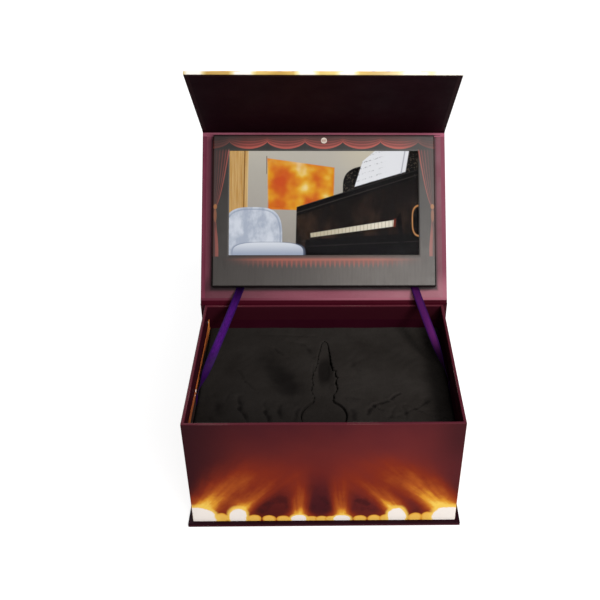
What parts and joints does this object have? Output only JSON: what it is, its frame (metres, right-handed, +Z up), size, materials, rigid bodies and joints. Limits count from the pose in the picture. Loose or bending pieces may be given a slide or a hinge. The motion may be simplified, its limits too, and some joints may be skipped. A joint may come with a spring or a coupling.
{
  "type": "lcd video brochure box",
  "caption": "Rigid presentation box with a foam-filled tray and a hinged lid that carries a raised video screen panel and a folding front flap, held open by ribbons.",
  "frame": {"origin": "centre of the underside of the case's base", "axes": "+Z up, the front of the box faces -Y, +X to the right seen from the front"},
  "size_m": [0.201, 0.2317, 0.287],
  "materials": {
    "greyboard": "matte grey board",
    "printed_wrap": "printed wrap with a satin film",
    "maroon_paper": "matte",
    "plum_paper": "satin",
    "orange_card": "printed",
    "black_card": "matte",
    "printed_card": "printed, satin film",
    "foam": "matte closed cell foam",
    "ribbon": "satin weave",
    "magnet_steel": "plated",
    "display_glass": "glossy",
    "module_metal": "satin",
    "flex_film": "amber film",
    "circuit_board": "solder mask",
    "chip_plastic": "moulded",
    "battery_foil": "pouch foil",
    "lead_cover": "insulated",
    "speaker_plastic": "moulded",
    "sensor_ceramic": "cream"
  },
  "bodies": {
    "base": {"base_board": "greyboard", "base_wrap": "printed_wrap", "spine_board": "greyboard", "spine_wrap": "printed_wrap", "tray_floor": "greyboard", "tray_front_wall": "greyboard", "tray_back_wall": "greyboard", "tray_left_wall": "greyboard", "tray_right_wall": "greyboard", "tray_wrap": "printed_wrap", "tray_lining": "maroon_paper", "tray_magnets": "magnet_steel", "side_card": "orange_card", "foam_base": "foam", "foam_top": "foam", "foam_plug": "foam", "ribbon_left": "ribbon", "ribbon_right": "ribbon", "lid_hinge_paper": "plum_paper"},
    "lid": {"lid_board": "greyboard", "lid_wrap": "printed_wrap", "lid_lining": "plum_paper", "panel_back_card": "greyboard", "panel_frame": "black_card", "panel_face_card": "printed_card", "screen_glass": "display_glass", "lcd_module": "module_metal", "lcd_flex": "flex_film", "main_board": "circuit_board", "board_chips": "chip_plastic", "battery": "battery_foil", "battery_leads": "lead_cover", "speaker": "speaker_plastic", "speaker_leads": "lead_cover", "usb_port": "module_metal", "light_sensor": "sensor_ceramic", "sensor_cable": "flex_film"},
    "flap": {"flap_board": "greyboard", "flap_wrap": "printed_wrap", "flap_lining": "plum_paper", "flap_magnets": "magnet_steel", "flap_hinge_paper": "plum_paper"}
  },
  "joints": [
    {"name": "lid_hinge", "type": "hinge", "parent": "base", "child": "lid", "pos_m": [0, 0.07175, 0.1019], "axis": [1, 0, 0], "range_deg": [0, 129], "deforming": ["lid_hinge_paper", "ribbon_left", "ribbon_right"]},
    {"name": "flap_hinge", "type": "hinge", "parent": "lid", "child": "flap", "pos_m": [0, 0.16061, 0.21163], "axis": [1, 0, 0], "range_deg": [-80.5, 9.5], "deforming": ["flap_hinge_paper"]}
  ]
}
